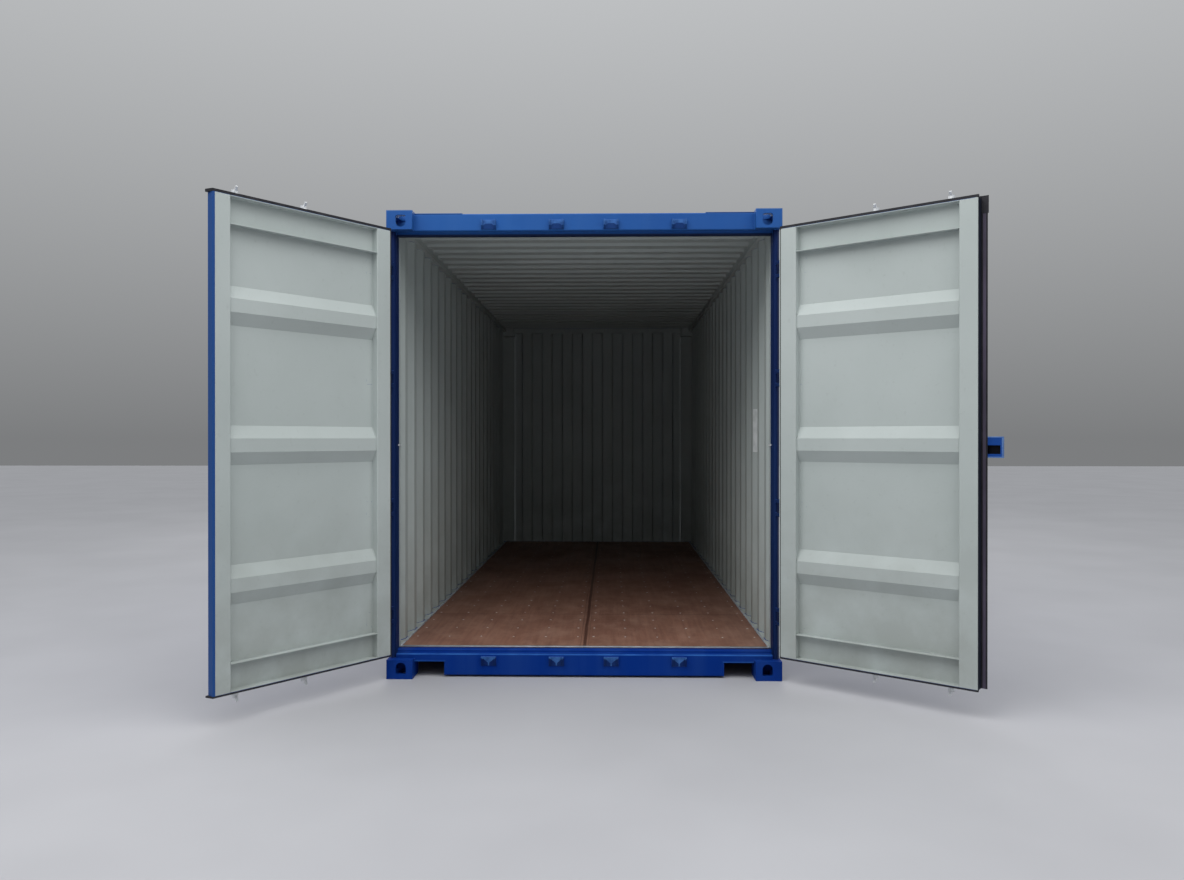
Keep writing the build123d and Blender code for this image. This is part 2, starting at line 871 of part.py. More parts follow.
# Lock bar brackets and handle catches on the outer face
bar_y = door_end + bar_inset
bracket_heights = [
    leaf_bottom + bracket_end,
    leaf_bottom + bracket_rise,
    leaf_top - bracket_rise,
    leaf_top - bracket_end,
]
handle_heights = {"inner": leaf_middle - inner_handle_drop, "outer": leaf_middle - outer_handle_drop}
with BuildPart() as brackets:
    for bar_name, x in bars.items():
        for z in bracket_heights:
            x0 = x - bracket_width / 2
            z0 = z - bracket_height / 2
            block(x0, x0 + bracket_width, front - bracket_plate, front, z0, z0 + bracket_height)
            with BuildSketch(Plane.XY.offset(z0)):
                with Locations((x, bar_y)):
                    turn = 180 / bracket_sides
                    RegularPolygon(bracket_radius, bracket_sides, major_radius=False, rotation=turn)
                with Locations((x, (bar_y + front) / 2)):
                    Rectangle(2 * bracket_radius, front - bar_y)
            extrude(amount=bracket_height)
            with Locations((x, bar_y, z)):
                Cylinder(bar_radius + bracket_gap, bracket_height, mode=Mode.SUBTRACT)
        z = handle_heights[bar_name]
        x0 = x + handle_length - catch_inset
        x1 = x0 + catch_width
        block(x0, x1, front - catch_plate, front, z - catch_height, z + catch_height)
        shelf_top = z - handle_height / 2 - catch_gap
        block(x0, x1, bar_y - handle_thickness, front, shelf_top - catch_plate, shelf_top)
save_both(brackets.part, "bar_brackets")

# Lock box on the right leaf, over the meeting edge: open underneath, and windowed at the back
box_front = door_end + lock_box_inset
box_rear = front - lock_box_gap
box_bottom = leaf_middle - lock_box_drop - lock_box_height / 2
box_top = box_bottom + lock_box_height
with BuildPart() as lock_box:
    block(-lock_box_reach, lock_box_back, box_front, box_rear, box_bottom, box_top)
    block(
        -lock_box_reach + lock_box_wall,
        lock_box_back - lock_box_wall,
        box_front + lock_box_wall,
        box_rear - lock_box_wall,
        box_bottom,
        box_top - lock_box_wall,
        mode=Mode.SUBTRACT,
    )
    block(
        -lock_box_reach + window_inset,
        -lock_box_reach + window_inset + window_length,
        box_rear - lock_box_wall,
        box_rear,
        box_bottom + window_rise,
        box_bottom + window_rise + window_height,
        mode=Mode.SUBTRACT,
    )
    block(leaf_gap + lip_base + lip_thickness, lock_box_back, box_rear, front, box_bottom, box_top)
save(hang(lock_box.part, "right"), "right_door_lock_box")


def cam(x, end_z, turn):
    """A forked cam on the end of a lock bar, its long horn beyond the end of the bar."""
    outline = [
        (0, 0),
        (0, -cam_hub_height),
        (cam_reach, -cam_hub_height),
        (cam_reach, cam_toe - cam_hub_height),
        (cam_root, 2 * cam_toe - cam_hub_height),
        (cam_root, -cam_toe),
        (cam_reach, cam_rise - cam_toe),
        (cam_reach - cam_toe, cam_rise),
        (cam_horn, 0),
    ]
    with BuildSketch(Plane.YZ.offset(x - cam_width / 2)) as section:
        Polygon(*[(bar_y + reach, end_z + turn * rise) for reach, rise in outline], align=None)
    extrude(section.sketch, amount=cam_width)


# Lock bars: a tube with a cam at each end and a flat handle that lies along the leaf
bar_bottom = leaf_bottom - bar_stand
bar_top = leaf_top + bar_stand
for bar_name, x in bars.items():
    z = handle_heights[bar_name]
    root_end = x + bar_radius + handle_root_length
    with BuildPart() as bar:
        with BuildSketch(Plane.XY.offset(bar_bottom)):
            with Locations((x, bar_y)):
                Circle(bar_radius)
                Circle(bar_radius - bar_wall, mode=Mode.SUBTRACT)
        extrude(amount=bar_top - bar_bottom)
        cam(x, bar_top, 1)
        cam(x, bar_bottom, -1)
        with BuildSketch(Plane.XZ.offset(-bar_y - handle_thickness / 2)):
            Polygon(
                (x + bar_radius - bar_wall / 2, z - handle_root / 2),
                (root_end, z - handle_root / 2),
                (root_end + handle_taper, z - handle_grip / 2),
                (x + handle_length - handle_taper, z - handle_height / 2),
                (x + handle_length, z - handle_grip / 2),
                (x + handle_length, z + handle_grip / 2),
                (x + handle_length - handle_taper, z + handle_height / 2),
                (root_end + handle_taper, z + handle_grip / 2),
                (root_end, z + handle_root / 2),
                (x + bar_radius - bar_wall / 2, z + handle_root / 2),
                align=None,
            )
        extrude(amount=handle_thickness)
    for name in sides:
        save(hang(bar.part, name), f"{name}_{bar_name}_lock_bar")
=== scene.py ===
"""Looks of a twenty foot high cube freight container with both door leaves open."""

import json
import math
import random

import bpy
from mathutils import Matrix, Vector


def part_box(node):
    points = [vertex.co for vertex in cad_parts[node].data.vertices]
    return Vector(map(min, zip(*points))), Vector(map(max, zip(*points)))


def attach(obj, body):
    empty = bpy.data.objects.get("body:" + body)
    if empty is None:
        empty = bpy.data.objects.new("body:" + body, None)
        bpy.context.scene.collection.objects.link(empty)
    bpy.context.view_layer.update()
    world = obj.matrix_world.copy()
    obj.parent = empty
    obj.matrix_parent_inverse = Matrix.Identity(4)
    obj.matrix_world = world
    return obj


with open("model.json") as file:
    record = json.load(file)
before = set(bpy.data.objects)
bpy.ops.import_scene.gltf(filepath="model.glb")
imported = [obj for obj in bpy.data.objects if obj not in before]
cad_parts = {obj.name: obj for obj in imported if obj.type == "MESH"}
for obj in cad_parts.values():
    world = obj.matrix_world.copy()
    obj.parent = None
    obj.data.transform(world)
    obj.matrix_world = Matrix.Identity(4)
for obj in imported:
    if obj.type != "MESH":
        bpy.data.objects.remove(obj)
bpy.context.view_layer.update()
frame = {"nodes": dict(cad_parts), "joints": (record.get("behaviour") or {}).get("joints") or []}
nodes = frame["nodes"]
random.seed(7)

UP = Vector((0, 0, 1))
ACROSS = Vector((1, 0, 0))

# Main sizes, in metres, from the nodes and the joints
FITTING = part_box("bottom_corner_fittings")[1]
HALF_LENGTH = FITTING.y
HALF_WIDTH = FITTING.x
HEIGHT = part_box("top_corner_fittings")[1].z
DOOR_END = -HALF_LENGTH
FLOOR_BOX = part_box("plywood_floor")
FLOOR_TOP = FLOOR_BOX[1].z
OPENING_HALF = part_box("door_sill")[1].x
LOCK_BOX_BOTTOM, LOCK_BOX_TOP = [corner.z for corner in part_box("right_door_lock_box")]
JOINTS = {joint["name"]: joint for joint in frame["joints"]}

# Camera, from the lines of the photograph: place, turn and focal length
CAMERA_PLACE = (0.1655, DOOR_END - 5.589, 1.4896)
CAMERA_TURN = math.radians(1.156)
CAMERA_TILT = math.radians(-0.122)
FOCAL_PIXELS = 909.65
FRAME_PIXELS = 1184
SENSOR = 36.0

# Body of the container, in metres
CASTING_WIDTH = 0.162
CASTING_LENGTH = 0.178
CASTING_HEIGHT = 0.118
FRAME_INSET = 0.007
FRAME_FRONT = DOOR_END + 0.060
POST_FRONT = DOOR_END + 0.047
LINING_START = DOOR_END + 0.138
FRAME_TOP = HEIGHT - 0.012
LINING_BASE = FLOOR_TOP - 0.002
POCKET_MIDDLES = (-1.040, 1.040)
POCKET_HALF = 0.180
BOARD_SEAMS = (-1.81, 0.63)

# Wave of the side walls: it starts here, and repeats, falls and rises at these places
WALL_START = 2.8
WALL_PITCH = 0.28
WALL_WAVES = 20
WALL_STEPS = (0.036, 0.104, 0.176, 0.244)
WALL_SLOPE = 0.068
WALL_DEPTH = 0.036

# Door leaves, in metres from the closed door end and from the middle of the opening
LEAF_FRONT = 0.040
LEAF_BACK = 0.090
LEAF_BOTTOM = 0.162
LEAF_TOP = 2.757
LEAF_END_SKIN = 0.0012
STILE_EDGES = (0.110, 1.060)
HINGE_EDGE = 1.1615
RAIL = 0.150
SHEET = 0.002
RIB_DEPTH = 0.036
RIB_HALF = 0.036
RIB_SLOPE = 0.068
RIB_MIDDLES = (0.7155, 1.4515, 2.1875)
HINGE_HEIGHTS = (0.390, 1.060, 1.859, 2.529)
HINGE_BLADE = (1.014, 1.160, 0.045)
HINGE_TIP = 0.020
BARS = {"inner": 0.170, "outer": 0.592}
BAR_RADIUS = 0.0165
BAR_INSET = 0.020
BRACKET_HEIGHTS = (0.230, 0.900, 2.019, 2.689)
HANDLE_HEIGHTS = {"inner": 1.1795, "outer": 1.2995}
CATCH_REACH = 0.340
CAM_ROOT = 0.022
KEEPER_HALVES = (0.046, 0.028)
KEEPER_REACH = 0.060

# Radii of the weld beads
CASTING_BEAD = 0.0032
FRAME_BEAD = 0.003
PLATE_BEAD = 0.0026
FINE_BEAD = 0.0024

# Lamps: name, place, aim and power
LAMP_SIZE = 5.0
LAMPS = (
    ("key", (-2.0, DOOR_END - 2.6, 6.5), (-0.5, DOOR_END - 0.6, 1.2), 235),
    ("fill", (3.0, DOOR_END - 3.0, 6.5), (0.5, DOOR_END - 0.4, 1.2), 130),
    ("back", (0, HALF_LENGTH + 4.0, 6.5), (0, 1.0, 1.2), 220),
)


def rgb(red, green, blue):
    """A linear colour from sRGB values of 0 to 255."""
    linear = []
    for value in (red, green, blue):
        share = value / 255
        linear.append(share / 12.92 if share <= 0.04045 else ((share + 0.055) / 1.055) ** 2.4)
    return (*linear, 1.0)


# Paints. A set of blues is the colour below, the colour above and the deeper patches
BLUES = (rgb(6, 50, 140), rgb(34, 88, 158), rgb(6, 40, 112))
# Navy blues for the door posts, hinge lugs and hinge strip: painted shade
NAVY_SHADE_BLUES = (rgb(16, 36, 84), rgb(22, 40, 90), rgb(14, 26, 62))
# Cam keepers: darker blues as painted shade, under a painted highlight on their upper parts
KEEPER_SHADED_BLUES = (rgb(8, 36, 94), rgb(18, 54, 112), rgb(8, 32, 84))
SILL_BLUES = (rgb(3, 48, 132), rgb(30, 84, 152), rgb(3, 40, 114))
FADED_RUNS = rgb(74, 116, 170)
RUST = rgb(104, 60, 38)
RUST_DARK = rgb(62, 38, 28)
LINING = rgb(186, 194, 192)
LINING_SHADE = rgb(168, 177, 174)
LINING_DIRT = rgb(128, 128, 120)
LINING_SPECKS = rgb(120, 122, 116)
# Dark navy painted on the header's lip and underside as shade
HEADER_PAINTED_SHADE = rgb(10, 18, 46)
# Lighter blue painted along the sill's ledge and notch edges as a highlight
SILL_EDGE_HIGHLIGHT = rgb(42, 92, 166)
KEEPER_HIGHLIGHT = rgb(60, 104, 168)
LOCK_BOX_WORN = rgb(96, 130, 184)
# Near black painted inside the lock box as shade
LOCK_BOX_SHADE = rgb(12, 14, 26)
CASTING_WORN = rgb(92, 122, 168)
# Near white painted inside the door end's top castings as a highlight
CASTING_LIT = rgb(214, 228, 238)
# Navy painted along the leaves' hinge edges as shade
HINGE_SHADE = rgb(14, 26, 62)
# Darker blue on the left free edge, near black on the right one: painted shade
LEAF_EDGE_SHADES = {"left": rgb(32, 74, 136), "right": rgb(20, 26, 40)}

# Zinc, rubber and wood
ZINC_DULL = rgb(204, 207, 208)
ZINC_BRIGHT = rgb(234, 236, 237)
ZINC_STAIN = rgb(150, 130, 108)
RUBBER = rgb(30, 30, 35)
RUBBER_DUST = rgb(72, 72, 78)
RUBBER_RUNS = rgb(60, 58, 68)
# Grey painted on the meeting gasket's lip as a highlight
RUBBER_SHEEN = rgb(96, 88, 108)
WOOD_DARK = rgb(122, 84, 70)
WOOD_LIGHT = rgb(152, 112, 94)
WOOD_BROAD = rgb(118, 84, 69)
WOOD_STAIN = rgb(98, 64, 53)
WOOD_WORN = rgb(174, 140, 122)
WOOD_SCRATCH = rgb(92, 58, 46)
BOARD_JOINT = rgb(62, 42, 34)
STRIP_WORN = rgb(118, 92, 80)
STRIP_JOINT = rgb(70, 42, 34)


class Leaf:
    """One door leaf at rest: along it from the hinge, into the container when closed, and up."""

    def __init__(self, name):
        joint = JOINTS[f"{name}_door_hinge"]
        self.name = name
        self.body = f"{name}_door"
        side = -1 if name == "left" else 1
        opened = math.radians(-joint["range_deg"][0])
        self.pin = Vector((joint["pos_m"][0], joint["pos_m"][1], 0))
        turn = Matrix.Rotation(side * opened, 3, "Z")
        self.along = turn @ Vector((-side, 0, 0))
        self.inward = turn @ Vector((0, 1, 0))

    def place(self, x, y, z):
        """The point that lies, on the closed leaf, x from the middle, y behind the door end, z up."""
        along = abs(self.pin.x) - x
        inward = DOOR_END + y - self.pin.y
        return self.pin + self.along * along + self.inward * inward + Vector((0, 0, z))

    def turned(self, point):
        """The same, for a point given as one value."""
        return self.place(*point)


LEAVES = {name: Leaf(name) for name in ("left", "right")}


class Nodes:
    """A material's node tree with short calls for the nodes used here."""

    def __init__(self, name):
        self.material = bpy.data.materials.new(name)
        self.material.use_nodes = True
        self.tree = self.material.node_tree
        self.shader = self.tree.nodes["Principled BSDF"]
        self.coordinates = self.tree.nodes.new("ShaderNodeTexCoord")
        split = self.tree.nodes.new("ShaderNodeSeparateXYZ")
        self.link(self.coordinates.outputs["Object"], split.inputs[0])
        self.place = {axis: split.outputs[axis.upper()] for axis in "xyz"}

    def link(self, source, target):
        self.tree.links.new(source, target)

    def feed(self, socket, value):
        """Link a socket, or set its value."""
        if isinstance(value, bpy.types.NodeSocket):
            self.link(value, socket)
        else:
            socket.default_value = value

    def noise(self, scale, detail=4.0, roughness=0.55, stretch=(1, 1, 1), distortion=0.0):
        """Noise over the object's own coordinates, in metres, stretched on each axis."""
        mapping = self.tree.nodes.new("ShaderNodeMapping")
        mapping.inputs["Scale"].default_value = stretch
        self.link(self.coordinates.outputs["Object"], mapping.inputs["Vector"])
        node = self.tree.nodes.new("ShaderNodeTexNoise")
        node.inputs["Scale"].default_value = scale
        node.inputs["Detail"].default_value = detail
        node.inputs["Roughness"].default_value = roughness
        node.inputs["Distortion"].default_value = distortion
        self.link(mapping.outputs["Vector"], node.inputs["Vector"])
        return node.outputs["Fac"]

    def ramp(self, value, low, high, start=0.0, end=1.0):
        """Map a value from low..high onto start..end, clamped."""
        node = self.tree.nodes.new("ShaderNodeMapRange")
        self.feed(node.inputs["Value"], value)
        node.inputs["From Min"].default_value = low
        node.inputs["From Max"].default_value = high
        node.inputs["To Min"].default_value = start
        node.inputs["To Max"].default_value = end
        return node.outputs["Result"]

    def math(self, operation, a, b=0.0):
        node = self.tree.nodes.new("ShaderNodeMath")
        node.operation = operation
        self.feed(node.inputs[0], a)
        self.feed(node.inputs[1], b)
        return node.outputs["Value"]

    def times(self, a, b):
        return self.math("MULTIPLY", a, b)

    def minus(self, a, b):
        return self.math("SUBTRACT", a, b)

    def above(self, value, limit):
        return self.math("GREATER_THAN", value, limit)

    def below(self, value, limit):
        return self.math("LESS_THAN", value, limit)

    def within(self, value, low, high):
        return self.both(self.above(value, low), self.below(value, high))

    def both(self, *masks):
        result = masks[0]
        for mask in masks[1:]:
            result = self.times(result, mask)
        return result

    def either(self, *masks):
        result = masks[0]
        for mask in masks[1:]:
            result = self.math("MAXIMUM", result, mask)
        return result

    def distance(self, value, middle):
        """How far a value lies from another one, either way."""
        return self.math("ABSOLUTE", self.minus(value, middle))

    def outside(self):
        """The distance from the middle plane, across the container."""
        return self.math("ABSOLUTE", self.place["x"])

    def line(self, value, middle, width):
        """A mask of a thin line where a value is near its middle."""
        return self.ramp(self.distance(value, middle), width * 0.4, width * 0.6, 1.0, 0.0)

    def mix(self, factor, a, b):
        """Mix two colours."""
        node = self.tree.nodes.new("ShaderNodeMix")
        node.data_type = "RGBA"
        self.feed(node.inputs["Factor"], factor)
        self.feed(node.inputs["A"], a)
        self.feed(node.inputs["B"], b)
        return node.outputs["Result"]

    def tint(self, colour, mask, share, tone):
        """Lay a share of a tone over a colour where the mask is."""
        return self.mix(self.times(mask, share), colour, tone)

    def dot(self, output, direction):
        """One of the coordinates along a direction."""
        node = self.tree.nodes.new("ShaderNodeVectorMath")
        node.operation = "DOT_PRODUCT"
        self.link(self.coordinates.outputs[output], node.inputs[0])
        node.inputs[1].default_value = direction
        return node.outputs["Value"]

    def bump(self, height, strength, distance):
        node = self.tree.nodes.new("ShaderNodeBump")
        node.inputs["Strength"].default_value = strength
        node.inputs["Distance"].default_value = distance
        self.feed(node.inputs["Height"], height)
        return node.outputs["Normal"]

    def finish(self, colour, roughness, normal, specular=0.3, metallic=0.0):
        self.feed(self.shader.inputs["Base Color"], colour)
        self.feed(self.shader.inputs["Roughness"], roughness)
        self.feed(self.shader.inputs["Normal"], normal)
        self.feed(self.shader.inputs["Specular IOR Level"], specular)
        self.feed(self.shader.inputs["Metallic"], metallic)
        return self.material


def blue_colour(n, low, high, deep):
    """Marine paint: lighter towards the top, deeper in patches, with faint runs, chips and rust."""
    height = n.ramp(n.place["z"], 0.5, 2.7)
    patches = n.ramp(n.noise(0.9, 5), 0.35, 0.7)
    runs = n.ramp(n.noise(6, 5, stretch=(1, 1, 0.06)), 0.4, 0.8)
    colour = n.mix(height, low, high)
    colour = n.tint(colour, patches, 0.35, deep)
    colour = n.tint(colour, runs, 0.14, FADED_RUNS)
    chips = n.ramp(n.noise(23, 6, 0.6), 0.735, 0.75)
    return n.tint(colour, chips, 0.8, n.mix(n.noise(90, 2), RUST_DARK, RUST))


def lining_colour(n):
    """Pale lining paint: a little dirtier in patches, towards the floor and in rubbed spots."""
    patches = n.ramp(n.noise(1.3, 6), 0.35, 0.7)
    specks = n.ramp(n.noise(38, 3), 0.62, 0.78)
    low = n.ramp(n.place["z"], 0.17, 1.3, 0.35, 0.0)
    colour = n.tint(LINING, patches, 0.5, LINING_SHADE)
    colour = n.tint(colour, low, n.ramp(n.noise(4, 5), 0.3, 0.6), LINING_DIRT)
    return n.tint(colour, specks, 0.12, LINING_SPECKS)


def paint(name, mask=None, blues=BLUES, marks=(), specular=0.2):
    """Painted steel: blue where the mask is 1, lining paint elsewhere, all blue without a mask.

    Marks are pairs of a mask and a colour laid over the blue, such as worn edges, painted highlights
    and painted shade.
    """
    n = Nodes(name)
    colour = blue_colour(n, *blues)
    for mark, tone in marks:
        colour = n.mix(mark(n), colour, tone)
    if mask:
        colour = n.mix(mask(n), lining_colour(n), colour)
    waves = n.math("ADD", n.times(n.noise(180, 3), 0.3), n.noise(9, 3))
    roughness = n.ramp(n.noise(7, 5), 0.3, 0.7, 0.42, 0.6)
    return n.finish(colour, roughness, n.bump(waves, 0.14, 0.0012), specular)


def nowhere(n):
    """A mask of nothing, for pieces that are lined all over."""
    return 0.0


def all_but_facing(inward):
    """A mask of every surface of a sheet but those that look inward."""

    def mask(n):
        return n.below(n.dot("Normal", inward), 0.02)

    return mask


def door_frame_mask(n):
    """The front part of the door frame is blue, and its inner side past the leaves is lined."""
    front = n.below(n.place["y"], LINING_START)
    shell = n.above(n.outside(), OPENING_HALF + 0.008)
    top = n.above(n.place["z"], FRAME_TOP)
    base = n.below(n.place["z"], LINING_BASE)
    return n.either(front, shell, top, base)


def end_frame_mask(n):
    """The outer skin of the blind end's frame is blue, and what shows inside is lined."""
    shell = n.above(n.outside(), HALF_WIDTH - 0.0095)
    back = n.above(n.place["y"], HALF_LENGTH - 0.0115)
    top = n.above(n.place["z"], FRAME_TOP)
    base = n.below(n.place["z"], LINING_BASE)
    return n.either(shell, back, top, base)


def side_rail_mask(n):
    """The outer and upper faces of the top side rails are blue, the other faces lined."""
    shell = n.above(n.outside(), HALF_WIDTH - 0.0055)
    top = n.above(n.place["z"], HEIGHT - 0.0075)
    return n.either(shell, top)


def bottom_rail_mask(n):
    """The bottom rails are blue but for the flange that shows inside the corrugated wall's foot."""
    turns = n.math("DIVIDE", n.math("ADD", n.place["y"], WALL_START), WALL_PITCH)
    place = n.times(n.math("FRACT", turns), WALL_PITCH)
    fall = n.ramp(place, *WALL_STEPS[:2])
    climb = n.ramp(place, *WALL_STEPS[2:], 1.0, 0.0)
    inset = n.times(n.math("MINIMUM", fall, climb), WALL_DEPTH)
    wall = n.minus(HALF_WIDTH - 0.0125, inset)
    lined = n.both(n.below(n.outside(), wall), n.above(n.place["z"], 0.172))
    return n.minus(1.0, lined)


def leaf_depth(n, leaf):
    """How far behind the closed door end a point of a leaf lies."""
    return n.math("ADD", n.dot("Object", leaf.inward), -leaf.inward.dot(leaf.place(0, 0, 0)))


def leaf_reach(n, leaf):
    """How far a point of a leaf lies from the closed doorway's middle, towards the hinge."""
    return n.minus(leaf.along.dot(leaf.place(0, 0, 0)), n.dot("Object", leaf.along))


def leaf_ends(n):
    """A mask of the top and bottom edges of the leaves."""
    top = n.above(n.place["z"], LEAF_TOP - LEAF_END_SKIN)
    return n.either(top, n.below(n.place["z"], LEAF_BOTTOM + LEAF_END_SKIN))


def leaf_mask(leaf):
    """Blue on the outer face and the edges of a leaf, lined on its inner side.

    On the left leaf the blue wraps round the free edge onto the inner side.
    """
    wrap = 0.023 if leaf.name == "left" else 0.0135

    def mask(n):
        depth = leaf_depth(n, leaf)
        reach = leaf_reach(n, leaf)
        asides = [n.distance(n.place["z"], z) for z in RIB_MIDDLES]
        aside = n.math("MINIMUM", n.math("MINIMUM", asides[0], asides[1]), asides[2])
        crest = LEAF_FRONT + RIB_DEPTH + 0.001
        skin = n.ramp(aside, RIB_HALF, RIB_HALF + RIB_SLOPE, crest, LEAF_FRONT + 0.005)
        shallow = n.either(n.below(depth, skin), leaf_ends(n))
        free = n.below(reach, wrap)
        if leaf.name == "right":
            free = n.both(free, n.below(depth, LEAF_BACK - 0.001))
        hinge = n.both(n.above(reach, HINGE_EDGE), n.below(depth, LEAF_BACK - 0.001))
        return n.either(shallow, free, hinge)

    return mask


def rail_mask(leaf):
    """Blue on the outer side and the ends of a leaf's rails, lined inside their channel."""

    def mask(n):
        return n.either(n.below(n.dot("Normal", leaf.inward), -0.25), leaf_ends(n))

    return mask


def leaf_edge_mark(leaf, start, end):
    """A band along one of a leaf's upright edges."""

    def mark(n):
        return n.within(leaf_reach(n, leaf), start, end)

    return mark


def header_lip_shade_mark(n):
    """Painted shade on the lip and the underside of the header, which lie in its shade."""
    low = n.ramp(n.place["z"], HEIGHT - 0.133, HEIGHT - 0.128, 0.9, 0.0)
    return n.both(low, n.below(n.place["y"], DOOR_END + 0.2))


def sill_highlight_mark(n):
    """A patchy painted highlight along the front edge of the sill's ledge and the edges of its end
    notches.
    """
    patchiness = n.ramp(n.noise(9, 5), 0.3, 0.6, 0.35, 1.0)
    ledge = n.both(n.above(n.place["z"], 0.1385), n.below(n.place["y"], DOOR_END + 0.068))
    front = n.below(n.place["y"], DOOR_END + 0.0595)
    lip = n.both(n.within(n.place["z"], 0.0985, 0.1075), n.above(n.outside(), 0.869))
    cheek = n.both(n.below(n.place["z"], 0.1075), n.within(n.outside(), 0.862, 0.8705))
    notches = n.both(front, n.times(n.either(lip, cheek), 0.7))
    return n.times(n.either(ledge, notches), patchiness)


def keeper_highlight_mark(n):
    """A patchy painted highlight on each cam keeper: a band in the upper row, a wedge in the lower
    row.
    """
    aside = n.math("MINIMUM", *[n.distance(n.outside(), x) for x in BARS.values()])
    arch = n.ramp(aside, 0.018, 0.034, HEIGHT - 0.073, HEIGHT - 0.085)
    header = n.above(n.place["z"], arch)
    wedge = n.ramp(n.place["z"], 0.092, 0.128, 0.004, 0.047)
    sill = n.both(n.below(aside, wedge), n.below(n.place["z"], 1.0))
    return n.times(n.either(header, sill), n.ramp(n.noise(34, 5), 0.35, 0.6, 0.45, 1.0))


def lock_box_shade_mark(n):
    """Painted shade on the unlit inside of the lock box."""
    depth = n.within(leaf_depth(n, LEAVES["right"]), 0.0065, 0.0272)
    reach = n.within(leaf_reach(n, LEAVES["right"]), -0.0925, 0.0605)
    return n.both(depth, reach, n.below(n.place["z"], LOCK_BOX_TOP - 0.0032))


def lock_box_rim_mark(n):
    """The rubbed edges of the lock box."""
    patchiness = n.ramp(n.noise(40, 4), 0.3, 0.6, 0.5, 1.0)
    top = n.above(n.place["z"], LOCK_BOX_TOP - 0.005)
    end = n.below(leaf_reach(n, LEAVES["right"]), -0.0905)
    base = n.below(n.place["z"], LOCK_BOX_BOTTOM + 0.006)
    return n.times(n.either(top, end, base), patchiness)


def casting_mask(n):
    """The castings are blue but for the faces that look into the container at the blind end."""
    skin = 0.0015
    inward = n.either(
        n.below(n.outside(), HALF_WIDTH - CASTING_WIDTH + skin),
        n.below(n.place["y"], HALF_LENGTH - CASTING_LENGTH + skin),
        n.below(n.place["z"], HEIGHT - CASTING_HEIGHT + skin),
    )
    return n.minus(1.0, n.both(inward, n.above(n.place["y"], 0.0)))


def casting_rim_mark(n):
    """Outer edges of the castings, rubbed paler."""
    across = n.ramp(n.outside(), HALF_WIDTH - 0.006, HALF_WIDTH - 0.002)
    length = n.math("ABSOLUTE", n.place["y"])
    length = n.ramp(length, HALF_LENGTH - 0.006, HALF_LENGTH - 0.002)
    top = n.ramp(n.place["z"], HEIGHT - 0.007, HEIGHT - 0.003)
    edges = n.either(n.both(across, length), n.both(across, top), n.both(length, top))
    return n.times(edges, 0.6)


def casting_glint_mark(n):
    """A painted highlight on the faces inside the door end's top castings, where sky light comes
    through.
    """
    inside = n.both(
        n.within(n.place["z"], HEIGHT - 0.040, HEIGHT - 0.004),
        n.within(n.outside(), HALF_WIDTH - 0.152, HALF_WIDTH - 0.010),
        n.within(n.place["y"], DOOR_END + 0.014, DOOR_END + 0.085),
    )
    return n.times(inside, 0.75)


def zinc():
    n = Nodes("zinc")
    patches = n.ramp(n.noise(24, 4), 0.35, 0.7)
    stains = n.ramp(n.noise(30, 6, 0.62), 0.6, 0.72)
    colour = n.tint(n.mix(patches, ZINC_DULL, ZINC_BRIGHT), stains, 0.35, ZINC_STAIN)
    metallic = n.ramp(stains, 0.0, 1.0, 0.35, 0.15)
    roughness = n.ramp(n.noise(40, 3), 0.3, 0.7, 0.4, 0.6)
    return n.finish(colour, roughness, n.bump(n.noise(120, 3), 0.15, 0.0004), 0.5, metallic)


def rubber(name, band=None):
    """Black rubber with dust and runs, and a band of painted highlight where one is given."""
    n = Nodes(name)
    dust = n.ramp(n.noise(14, 5), 0.45, 0.8)
    runs = n.ramp(n.noise(30, 4, stretch=(1, 1, 0.05)), 0.4, 0.75)
    colour = n.tint(RUBBER, dust, 0.4, RUBBER_DUST)
    colour = n.tint(colour, runs, 0.3, RUBBER_RUNS)
    if band:
        patchiness = n.ramp(n.noise(9, 4, stretch=(1, 1, 0.2)), 0.35, 0.65, 0.5, 1.0)
        colour = n.tint(colour, band(n), patchiness, RUBBER_SHEEN)
    return n.finish(colour, 0.6, n.bump(n.noise(160, 3), 0.2, 0.0005), 0.3)


def wood_colour(n):
    """Red-brown floor boards: the colour, the fine grain along them and the stains."""
    grain = n.noise(30, 7, 0.6, stretch=(1.0, 0.05, 1.0), distortion=0.3)
    broad = n.noise(5, 6, 0.6, stretch=(1.0, 0.2, 1.0))
    stains = n.ramp(n.noise(1.7, 6), 0.42, 0.72)
    wear = n.ramp(n.noise(7, 7, 0.65, stretch=(1, 0.5, 1)), 0.45, 0.75)
    colour = n.mix(n.ramp(grain, 0.3, 0.7), WOOD_DARK, WOOD_LIGHT)
    colour = n.mix(n.ramp(broad, 0.35, 0.7, 0.0, 0.5), colour, WOOD_BROAD)
    colour = n.tint(colour, stains, 0.55, WOOD_STAIN)
    colour = n.tint(colour, wear, 0.42, WOOD_WORN)
    scratches = n.noise(60, 3, 0.7, stretch=(0.12, 1.0, 1.0), distortion=0.6)
    colour = n.tint(colour, n.ramp(scratches, 0.68, 0.74), 0.3, WOOD_SCRATCH)
    return colour, grain, stains


def plywood():
    """The boards, with dark joints between them and beside the middle strip."""
    n = Nodes("plywood")
    colour, grain, stains = wood_colour(n)
    seams = n.either(*[n.line(n.place["y"], place, 0.007) for place in BOARD_SEAMS])
    dark = n.either(seams, n.line(n.outside(), 0.0252, 0.003))
    colour = n.tint(colour, dark, 0.8, BOARD_JOINT)
    height = n.minus(grain, n.times(dark, 2.0))
    return n.finish(colour, n.ramp(stains, 0.0, 1.0, 0.5, 0.66), n.bump(height, 0.3, 0.001), 0.35)


